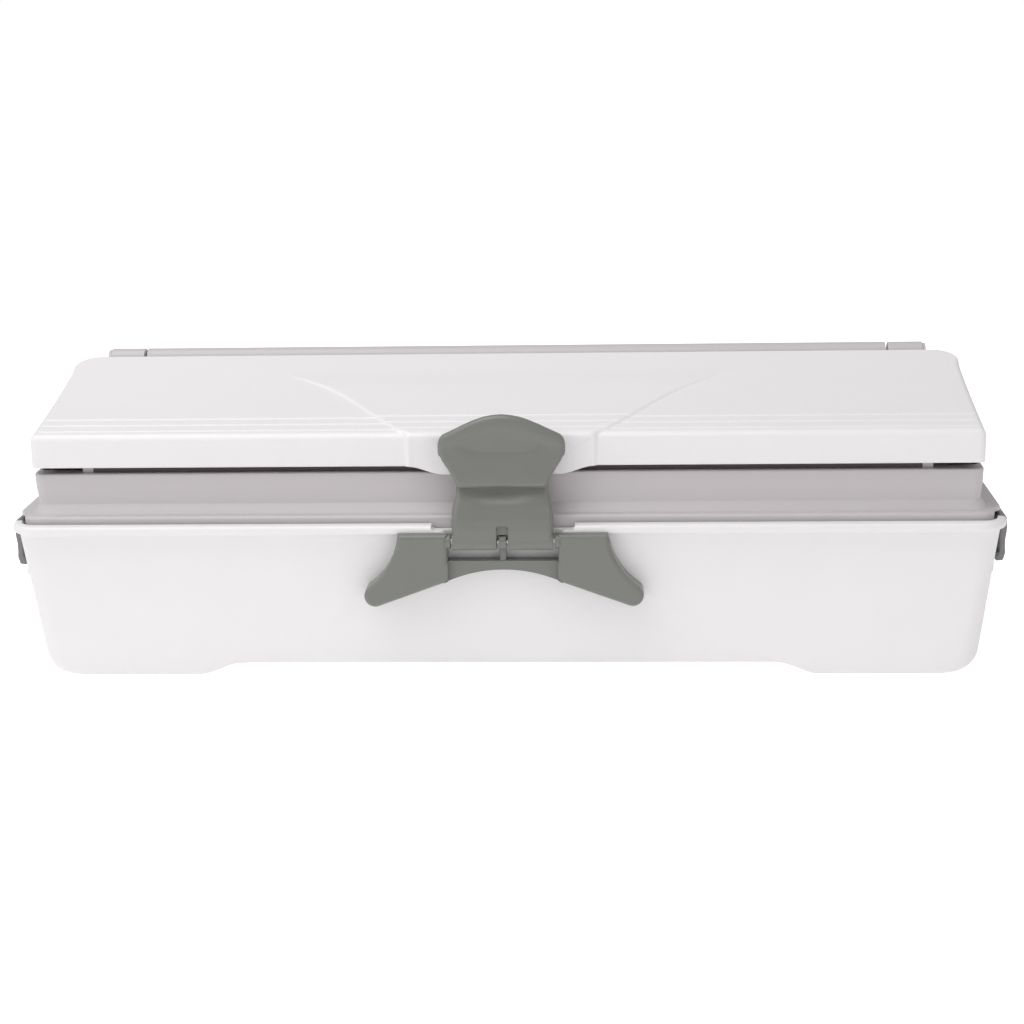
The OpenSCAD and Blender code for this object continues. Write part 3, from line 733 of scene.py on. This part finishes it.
def base_piece():
    casing = base_casing()
    foot_x = wall_half - 38
    join, cut = [], []
    for side in (-1, 1):
        low, high = on_side(side, ARCH_HALF + ARCH_RUN + 2, wall_half - 24)
        cut.append(prism(rounded([(low, -53), (high, -53), (high, 53), (low, 53)], 4), 2, -8, FLOOR - WALL))
        low, high = on_side(side, recess_x, rim_half + 4)
        cut.append(prism(rounded([(-59, 57), (59, 57), (59, 99), (-59, 99)], 4), 0, low, high))
        low, high = on_side(side, recess_x - 3.5, recess_x + 1)
        cut.append(box_between((low, -59, RIM_TOP - 2.5), (high, 59, RIM_TOP + 2)))
        low, high = on_side(side, recess_x - WALL, recess_x - 0.4)
        join.append(box_between((low, -61, 57.5), (high, 61, RIM_TOP - 2)))
        join.append(cradle(side * CRADLE_X, 0, 42, FLOOR - 1))
    window = RIM_BOTTOM - 4
    shoulder = arc(-36.5, 87.5, 2.5, 270, 180, 6) + [(-39, 93)]
    notch = [(-31.5, window)] + arc(-34, 82.5, 2.5, 0, 90, 6) + shoulder
    cut.append(prism(mirrored(notch), 1, -rim_deep - 5, wall_in(RIM_TOP) - wall_deep - 0.2))
    cut.append(prism(mirrored(shoulder), 1, -rim_deep, -wall_deep + 4))
    for x in (-SCREW_X, SCREW_X):
        cut.append(prism(circle(x, SCREW_Z, 2.2), 1, -wall_deep - 8, -wall_deep + 8))
    combined(casing, join, cut)
    more = []
    for side in (-1, 1):
        ridge = [(-1, 66), (1.2, 66), (1.5, 66.3), (1.5, 67), (-1, 71)]
        ridge = [(side * (recess_x + x), z) for x, z in ridge]
        more.append(prism(ridge, 1, -52, 52, 0.2, 1))
        more.append(prism([(side * x, y) for x, y in ((183, -52.5), (185, -52.5), (185, 52.5), (183, 52.5))],
            2, FOOT + 0.2, FLOOR - 1))
        for y in (-42, 42):
            more.append(prism(circle(side * foot_x, y, 9, 40), 2, FOOT, FLOOR - 1, 0.3, 2))
    combined(casing, more)
    finish_piece("base_casing", casing, WHITE, "base", ["base_shell"])


base_piece()


# ---------------------------------------------------------------- tray

FLANGE_TOP = RIM_TOP + 3.8
SKIRT_BOTTOM = RIM_TOP - 5
TRAY_FRONT = -58.0
TRAY_BACK = 61.5
TUB_FLOOR = 72.0

tray_half = lid_half - 1
tray_top = lid_edge - 4
skirt_half = lid_half + 6
skirt_deep = rim_deep - 8.5
post_half = opening_half - 2.5
back_top = tray_top + 35.5


def tray_moulding():
    """The tray's tub, shoulder, skirt, walls and front ledge as one closed sheet."""
    ends = [0, 0.8, 1.8, 3, 4.4, 6, 8, 10, 12.5]
    xs = grid_lines(ends, both_signs([post_half + 2.1, post_half + 1.7, 220, 180, 120, 60, 0]))
    ys = grid_lines(ends, steps(-36, 36, 9))
    last = len(ys) - 1

    def centred(half, deep, r, z):
        return loop(xs, ys, (-half, half, -deep, deep), r, z)

    def wall(out, z, share=0.0, front=0.0, r=6):
        """The upright wall, whose back rises by a share of its extra height."""
        ends = out + 1.4 * smooth((z - FLANGE_TOP - 5) / 14)
        rect = (-tray_half - ends, tray_half + ends, TRAY_FRONT - out + front, TRAY_BACK + out)

        def height(x, y, i, j):
            return z + (back_top - tray_top) * share if j == last and abs(x) < post_half + 2 else z
        return loop(xs, ys, rect, max(0.8, r + out), height)

    tub_half, tub_deep = lid_half - 6, 54.0
    rings = [centred(tub_half - 0.5, tub_deep - 0.5, 11.5, TUB_FLOOR + 0.5),
        centred(tub_half, tub_deep, 12, TUB_FLOOR + 1.7), centred(tub_half, tub_deep, 12, FLANGE_TOP - 3.3),
        centred(tub_half + 0.8, tub_deep + 0.8, 12, FLANGE_TOP - WALL),
        centred(skirt_half - 3.1, skirt_deep - 3.1, 7, FLANGE_TOP - WALL),
        centred(skirt_half - WALL, skirt_deep - WALL, 7.5, FLANGE_TOP - 3.1),
        centred(skirt_half - WALL, skirt_deep - WALL, 7.5, SKIRT_BOTTOM + 0.3),
        centred(skirt_half - WALL + 0.3, skirt_deep - WALL + 0.3, 7.8, SKIRT_BOTTOM),
        centred(skirt_half - 0.4, skirt_deep - 0.4, 9.6, SKIRT_BOTTOM),
        centred(skirt_half, skirt_deep, 10, SKIRT_BOTTOM + 0.4)]
    rings += [centred(skirt_half - 1.8 * (1 - math.cos(a)), skirt_deep - 1.8 * (1 - math.cos(a)), 10,
        FLANGE_TOP - 1.8 * (1 - math.sin(a))) for a in steps(0, math.pi / 2, 6)]
    rings += [wall(4.4, FLANGE_TOP), wall(4.1, FLANGE_TOP + 0.06), wall(3.8, FLANGE_TOP + 0.3),
        wall(0.25, FLANGE_TOP + 4.9), wall(0.08, FLANGE_TOP + 5.25), wall(0, FLANGE_TOP + 5.8)]
    rings += [wall(0, 101, 0.2), wall(0, 107, 0.5), wall(0, tray_top - 1.2, 1), wall(-0.1, tray_top - 0.7, 1),
        wall(-0.4, tray_top - 0.25, 1), wall(-1.0, tray_top, 1), wall(-WALL + 0.5, tray_top, 1, 8),
        wall(-WALL + 0.1, tray_top - 0.2, 1, 7.6), wall(-WALL, tray_top - 0.6, 1, 7.5),
        wall(-WALL, tray_top - 4.6, 1, 7.5), wall(-WALL, tray_top - 5, 1, 7),
        wall(-WALL, tray_top - 5.2, 0.98),
        wall(-WALL, FLANGE_TOP + 0.8), wall(-WALL - 0.6, FLANGE_TOP),
        centred(tub_half - WALL + 0.4, tub_deep - WALL + 0.4, 9.9, FLANGE_TOP),
        centred(tub_half - WALL, tub_deep - WALL, 9.5, FLANGE_TOP - 0.5),
        centred(tub_half - WALL, tub_deep - WALL, 9.5, TUB_FLOOR + WALL + 1.5),
        centred(tub_half - WALL - 0.4, tub_deep - WALL - 0.4, 9.1, TUB_FLOOR + WALL + 0.4)]
    return solid(*shell(len(xs), len(ys), centred(tub_half - 1.7, tub_deep - 1.7, 10.3, TUB_FLOOR), rings,
        centred(tub_half - WALL - 1.5, tub_deep - WALL - 1.5, 8, TUB_FLOOR + WALL)))


def tray_piece():
    tray = tray_moulding()
    bar_front, bar_top = -54.6, lid_edge + 3.2
    rod = span("hinge_rod")
    hinge_y, hinge_z = (rod[0].y + rod[1].y) / 2, (rod[0].z + rod[1].z) / 2
    pin = pivot("clip_right_pivot")
    cut = [box_between((-228, -50.5, 70), (228, -44.5, TUB_FLOOR + WALL + 1), 2.5)]
    bar = rounded([(bar_front, tray_top - 1), (bar_front + 5, tray_top - 1), (bar_front + 5, bar_top),
        (bar_front, bar_top)], [0, 0, 0.8, 0.8])
    join = [prism(bar, 0, -233, 233, 0.5, 2)]
    late = [prism(circle(hinge_y, hinge_z, 2.02), 0, -post_half - 8, post_half + 8)]
    for side in (-1, 1):
        low, high = on_side(side, skirt_half - 3.5, skirt_half + 1)
        cut.append(box_between((low, -61, SKIRT_BOTTOM - 1), (high, 61, RIM_TOP + 0.6)))
        low, high = on_side(side, post_half - 20.5, post_half)
        web = [(TRAY_BACK - WALL, 122), (TRAY_BACK, 122), (hinge_y + 6, hinge_z - 4), (hinge_y, hinge_z + 2),
            (TRAY_BACK - WALL, hinge_z - 3)]
        join.append(prism(rounded(web, [0, 4, 1.5, 1.5, 1.5]), 0, low, high, 0.4, 2))
        join.append(prism(circle(hinge_y, hinge_z, 7, 48), 0, low, high, 0.8))
        out = pin.x - 0.6
        tab = [(tray_half - 1, -54)] + arc(out - 7, -47, 7, -90, 0, 9) + arc(out - 7, 47, 7, 0, 90, 9)
        tab = [(side * x, y) for x, y in tab + [(tray_half - 1, 54)]]
        join.append(prism(tab, 2, RIM_TOP + 0.6, FLANGE_TOP - 0.6, 0.6, 3))
        for y in (36, -40):
            join.append(prism(circle(side * pin.x, pin.z, 2.7), 1, y, y + 4, 0.3, 2))
            low, high = on_side(side, pin.x - 2.7, out)
            join.append(box_between((low, y, pin.z), (high, y + 4, FLANGE_TOP - 1)))
        late.append(prism(circle(side * pin.x, pin.z, 1.27), 1, -60, 60))
        low, high = on_side(side, lid_half - WALL - 3.1, lid_half - WALL - 0.8)
        join.append(box_between((low, TRAY_FRONT + 26, FLANGE_TOP - 1), (high, 38, lid_edge + 3), 0.8))
        join.append(cradle(side * CRADLE_X, 6, 107, TUB_FLOOR + 1))
    combined(tray, cut=cut)
    combined(tray, join, late)
    finish_piece("roll_tray", tray, PALE_GREY, "tray", ["tray"])


tray_piece()


# ---------------------------------------------------------------- latch

LATCH_RELEASE = 3.0
PROFILE_FRONT = [(-80.9, 78), (-81.4, 82), (-81.2, 87), (-80.2, 93), (-78.2, 99), (-75.4, 104.5),
    (-73.2, 108.6), (-73.4, 109.7), (-74.2, 110.1), (-77.2, 110.3), (-78.0, 110.9), (-78.3, 112),
    (-77.8, 115), (-76, 121), (-74.6, 128), (-74, 135), (-73.8, 142), (-73.4, 145.4), (-72.6, 147.3),
    (-71.4, 148.3), (-70.2, 148.6)]
PROFILE_BACK = [(-69.0, 148.2), (-68.1, 147.2), (-67.7, 145.6), (-67, 140), (-66.6, 130), (-66.4, 121),
    (-66.4, 118), (-67.8, 112), (-70, 104), (-71.6, 96), (-72.1, 88), (-71.9, 80)]
LEVER_SIDE = [(27.4, 70), (27.6, 84), (27.6, 92), (27.1, 98), (25.2, 105), (24.9, 109.4), (26, 113.5),
    (28.8, 118.5), (32.4, 124), (34, 128), (34.4, 133), (34.4, 160)]
LEVER_TOP = [(0, 148.8), (5, 148.4), (10, 147.4), (15, 145.6), (20, 143.4), (25, 140.9), (29, 139.0),
    (31.8, 137.6), (33.4, 135.8), (34.2, 133.4), (34.4, 131.5)]
LEVER_MIDDLE = [(-76.4, 70), (-76.3, 80), (-75.8, 92), (-72.7, 104), (-71.6, 111), (-71.0, 122), (-70.2, 150)]


def between(table, key, column=1):
    """A value read off a table of pairs, with straight steps between them."""
    other = 1 - column
    for low, high in zip(table, table[1:]):
        if low[column] <= key <= high[column]:
            share = (key - low[column]) / max(1e-9, high[column] - low[column])
            return low[other] + (high[other] - low[other]) * share
    return table[0][other] if key < table[0][column] else table[-1][other]


def finer(points, longest):
    """A line of points with each step cut into short ones."""
    result = []
    for a, b in zip(points, points[1:]):
        count = max(1, math.ceil(math.dist(a, b) / longest))
        result += [(a[0] + (b[0] - a[0]) * k / count, a[1] + (b[1] - a[1]) * k / count) for k in range(count)]
    return result + [points[-1]]


def ladder(left, right, key):
    """Triangles that join two rising lines of points."""
    faces = []
    i = j = 0
    while i < len(left) - 1 or j < len(right) - 1:
        climb = j == len(right) - 1 or (i < len(left) - 1 and key(left[i + 1]) < key(right[j + 1]))
        faces.append((left[i], right[j], left[i + 1] if climb else right[j + 1]))
        i, j = (i + 1, j) if climb else (i, j + 1)
    return faces


def lever_piece():
    round_side = 3.2
    profile = finer(PROFILE_FRONT, 1.5) + finer(PROFILE_BACK, 3.0)
    shares = steps(0, 0.86, 20) + [0.885, 0.91, 0.93, 0.95, 0.965, 0.978, 0.988, 0.996]
    shares = both_signs(shares)
    points = []
    for share in shares:
        for y, z in profile:
            x = share * between(LEVER_SIDE, z)
            crown = between(LEVER_TOP, abs(share) * 34.4, 0)
            if z > 126:
                z = 126 + (z - 126) * (crown - 126) / 22.6
            half = between(LEVER_SIDE, z)
            near = (abs(share) * half - half + round_side) / round_side
            slim = math.sqrt(1 - min(0.985, near) ** 2) if near > 0 else 1.0
            middle = between(LEVER_MIDDLE, z)
            dish = math.hypot(x / 25.4, (z - 132.5) / 6.8)
            if y < middle:
                scoop = math.hypot(x / 20, (z - 106) / 5)
                y += 0.9 * smooth((1.08 - dish) / 0.3) + 1.8 * smooth((1.25 - scoop) / 1.1)
            points.append((x, middle + (y - middle) * slim, z))
    size, turn = len(profile), len(finer(PROFILE_FRONT, 1.5)) - 1
    faces = []
    for n in range(len(shares) - 1):
        here, there = n * size, (n + 1) * size
        faces += [(here + k, here + (k + 1) % size, there + (k + 1) % size, there + k) for k in range(size)]
    for start in (0, (len(shares) - 1) * size):
        faces += ladder([start + k for k in range(turn + 1)],
            [start + k for k in range(size - 1, turn, -1)], lambda n: points[n][2])
    lever = solid(points, faces)
    axis = latch_axis
    barrel = prism(circle(axis.y, axis.z, 4.8, 48), 0, -27.4, 27.4, 0.5)
    nib = prism(rounded([(-67.5, 118.9), (-62.9, 119.8), (-62.9, 121.5), (-67.5, 122.3)], [0, 0.6, 0.6, 0]),
        0, -16.5, 16.5, 0.5, 2)
    hole = prism(circle(axis.y, axis.z, 1.55), 0, -50, 50)
    slot = rounded([(-3, 70), (3, 70), (3, axis.z + 4.4), (-3, axis.z + 4.4)], [0, 0, 1.2, 1.2])
    slot = prism(slot, 1, -90, -60)
    groove = rounded([(-3.3, 70), (3.3, 70), (3.3, axis.z + 9.6), (-3.3, axis.z + 9.6)], [0, 0, 1.4, 1.4])
    groove = prism(groove, 1, -90, -79.0)
    combined(lever, [barrel, nib], [hole, slot, groove])
    turned_about(lever, LATCH_RELEASE, "X", axis)
    finish_piece("thumb_lever", lever, GREY_GREEN, "latch", ["latch_lever"])


def bracket_piece():
    axis = latch_axis
    right = arc(98.83, 87.81, 42, 185.2, 233.4, 16) + arc(70.2, 49.3, 6, 49, -113, 14)
    right += [(32, 56.9)] + arc(0, -11.4, 75, 64.5, 90, 12)
    window = [(-30, 84), (-30, 68.6), (30, 68.6), (30, 84)]
    outline = window + right + [(-x, z) for x, z in reversed(right[:-1])]
    face = bracket_low.y
    bracket = prism(outline, 1, face, -64, 2.6, 5)
    knuckle = box_between((-1.7, axis.y + 0.5, 65.6), (1.7, axis.y + 4, axis.z), 0.5)
    ears = [prism(circle(axis.y, axis.z, 4, 36), 0, x - 1.5, x + 1.5, 0.4, 2) for x in (-29.7, 29.7)]
    hub = prism(circle(axis.y, axis.z, 4, 36), 0, -2, 2, 0.3, 2)
    bar = prism([(-29.9, 50), (29.9, 50), (29.9, 90), (-29.9, 90)], 1, face - 5, face + 4)
    combined(bracket, cut=[bar])
    front = lambda z: wall_in(z) - wall_deep - 0.1
    behind = prism([(front(0), 0), (front(80.1), 80.1), (-rim_deep - 0.1, 80.1), (-rim_deep - 0.1, 100),
        (0, 100), (0, 0)], 0, -100, 100)
    holes = [prism(circle(axis.y, axis.z, 1.52), 0, -60, 60)]
    holes += [prism(circle(x, SCREW_Z, 1.95), 1, -77, -60) for x in (-SCREW_X, SCREW_X)]
    combined(bracket, ears + [hub, knuckle], [behind] + holes)
    finish_piece("wing_bracket", bracket, GREY_GREEN, "base", ["latch_bracket"])


lever_piece()
bracket_piece()


# ---------------------------------------------------------------- side clips

CLIP_RELEASE = 4.5


def clip_piece(side, name):
    pin = pivot("clip_right_pivot")
    x = recess_x
    outline = [(x + 7.5, 84.3), (x + 7.7, 80.5), (x + 7.2, 77), (x + 6.3, 73), (x + 5.9, 68.5), (x + 5.9, 65),
        (x + 4.4, 60.8), (x + 0.3, 60.8), (x + 0.3, 64.2), (x + 1.2, 65.4), (x + 2.6, 65.6), (x + 2.9, 74),
        (x + 3.4, 79), (x + 3, 84.3)]
    radii = [0, 3, 3, 4, 4, 2, 1.4, 0.8, 0.3, 0.3, 0.5, 4, 3, 0]
    outline = [(side * a, b) for a, b in rounded(outline, radii, 4)]
    clip = prism(outline, 1, -52, 52, 0.9, 3)
    barrel = prism(circle(side * pin.x, pin.z, 2.8), 1, -52, 52, 0.6, 3)
    cut = [prism(circle(side * pin.x, pin.z, 1.3), 1, -60, 60)]
    low, high = sorted((side * (pin.x - 6), side * (pin.x + 6)))
    for y in (35.3, -40.7):
        cut.append(box_between((low, y, pin.z - 4), (high, y + 5.4, RIM_TOP), 0))
    combined(clip, [barrel], cut)
    turned_about(clip, -side * CLIP_RELEASE, "Y", Vector((side * pin.x, pin.y, pin.z)))
    finish_piece("closing_clip_" + name, clip, CLIP_GREY, "clip_" + name, ["side_clip_" + name])


clip_piece(-1, "left")
clip_piece(1, "right")


# ---------------------------------------------------------------- rolls

CORE_R = 21.5
PLUG_R = 19.0


def roll_pieces(roll, film_node, core_node, plugs_node):
    """A roll of film: the wound film, its card core, and the plugs at both ends."""
    low, high = span(film_node)
    y, z, half = (low.y + high.y) / 2, (low.z + high.z) / 2, high.x
    film_r, core_r, plug_r = (high.z - low.z) / 2, CORE_R, PLUG_R
    face = [(half - 0.3 * ((k * 7) % 5) / 5, core_r + (film_r - 1.2 - core_r) * k / 24) for k in range(25)]
    face += [(half - 0.35, film_r - 0.35), (half - 0.9, film_r)]
    sheet = [(0.0, film_r)] + [(-x, r) for x, r in reversed(face)] + [(0.0, core_r)]
    film = spun(face + sheet, y, z, 96)
    finish_piece(roll + "_wound_film", film, FILM, roll, [film_node])
    edge = 0.4
    right = [(half - edge, core_r), (half, core_r - edge), (half, plug_r + edge), (half - edge, plug_r)]
    core = spun(right + [(-x, r) for x, r in reversed(right)], y, z, 96)
    finish_piece(roll + "_card_core", core, CARD, roll, [core_node])
    out, hub = 16.0, AXLE_R
    profile = [(-18, 16.5), (-18, plug_r - 0.3), (-17.7, plug_r), (0, plug_r), (0, 22.2), (0.3, 22.5),
        (2.1, 22.5), (2.5, 22.1), (2.5, hub + 1.2), (2.8, hub + 0.3), (3.5, hub), (out - 0.8, hub),
        (out, hub - 0.8), (out, 4.0), (out - 0.5, 3.5), (-2, 3.5), (-2, 16.3)]
    ends = [spun([(side * (half + x), r) for x, r in profile], y, z, 64) for side in (-1, 1)]
    plugs = combined(ends[0], [ends[1]])
    finish_piece(roll + "_end_plugs", plugs, PALE_GREY, roll, [plugs_node])


roll_pieces("upper_roll", "upper_film", "upper_roll_core", "upper_core_plugs")
roll_pieces("lower_roll", "lower_film", "lower_roll_core", "lower_core_plugs")


# ---------------------------------------------------------------- CAD parts that show as they are

# The tray's grip strip shows in the gap under the lid's front edge, and its dark rubber tone there is painted
# shade.
CAD_LOOKS = {
    "lid_hinge_bar": PALE_GREY, "hinge_rod_caps": PALE_GREY, "foot_pads": RUBBER_AND_GAP_SHADE, "tray_grip_strip": RUBBER_AND_GAP_SHADE,
    "lid_press_strip": RUBBER_AND_GAP_SHADE, "blade_holder": WHITE, "hinge_rod": STEEL_ALONG_X,
    "latch_pin": STEEL_ALONG_X, "clip_pins": STEEL_ALONG_Y, "bracket_screws": STEEL_ALONG_Y,
    "blade_screws": STEEL_ALONG_Y, "cutter_blade": STEEL_ALONG_X,
}
for node, material in CAD_LOOKS.items():
    slots = frame["nodes"][node].data.materials
    slots.clear()
    slots.append(material)


# ---------------------------------------------------------------- floor, light and camera

def soft_light(name, place, aim, size, watts, colour=(1, 1, 1)):
    """A large square lamp that faces a point. Places are in metres."""
    lamp = bpy.data.lights.new(name, "AREA")
    lamp.shape = "RECTANGLE"
    lamp.size, lamp.size_y = size
    lamp.energy = watts
    lamp.color = colour
    lit = bpy.data.objects.new(name, lamp)
    lit.location = place
    lit.rotation_euler = (Vector(aim) - Vector(place)).to_track_quat("-Z", "Y").to_euler()
    bpy.context.scene.collection.objects.link(lit)


def studio_floor():
    """A wide white floor under the feet."""
    size = 6.0
    mesh = bpy.data.meshes.new("studio_floor")
    corners = [(-size, -size, 0), (size, -size, 0), (size, size, 0), (-size, size, 0)]
    mesh.from_pydata(corners, [], [(0, 1, 2, 3)])
    material, tree, shader = node_tree("studio_white")
    shader.inputs["Base Color"].default_value = (0.9, 0.9, 0.9, 1)
    shader.inputs["Roughness"].default_value = 0.9
    shader.inputs["Emission Color"].default_value = (1, 1, 1, 1)
    path = tree.nodes.new("ShaderNodeLightPath")
    tree.links.new(remap(tree, path.outputs["Is Camera Ray"], 0.27, 0.75), shader.inputs["Emission Strength"])
    mesh.materials.append(material)
    floor = bpy.data.objects.new("studio_floor", mesh)
    bpy.context.scene.collection.objects.link(floor)


def studio_world(seen, given):
    """A white surround, with one strength for the eye and another for the light it gives."""
    world = bpy.data.worlds.new("studio_world")
    world.use_nodes = True
    tree = world.node_tree
    background = tree.nodes["Background"]
    background.inputs["Color"].default_value = (1, 1, 1, 1)
    path = tree.nodes.new("ShaderNodeLightPath")
    strength = remap(tree, path.outputs["Is Camera Ray"], given, seen)
    tree.links.new(strength, background.inputs["Strength"])
    bpy.context.scene.world = world


def studio_camera():
    """The camera, a little right of the middle and above the lid."""
    data = bpy.data.cameras.new("camera")
    data.sensor_width = 36.0
    data.lens = 75.6
    data.clip_start = 0.05
    camera = bpy.data.objects.new("camera", data)
    turn = Matrix.Rotation(math.radians(3.13), 4, "Z")
    tilt = Matrix.Rotation(math.radians(90 - 14.05), 4, "X")
    roll = Matrix.Rotation(math.radians(-1.05), 4, "Z")
    camera.matrix_world = Matrix.Translation((0.0667, -1.1965, 0.3802)) @ turn @ tilt @ roll
    bpy.context.scene.collection.objects.link(camera)
    bpy.context.scene.camera = camera


studio_floor()
studio_world(seen=1.0, given=0.42)
soft_light("key", (-1.4, -1.1, 1.0), (0, 0, 0.08), (1.4, 1.0), 5.4)
soft_light("fill", (1.3, -1.3, 0.8), (0.1, 0, 0.08), (1.0, 0.8), 2.8, (1.0, 0.93, 0.94))
soft_light("overhead", (-0.5, -0.35, 1.7), (0, 0, 0.1), (1.8, 1.2), 17)
studio_camera()
bpy.context.scene.view_settings.view_transform = "Standard"
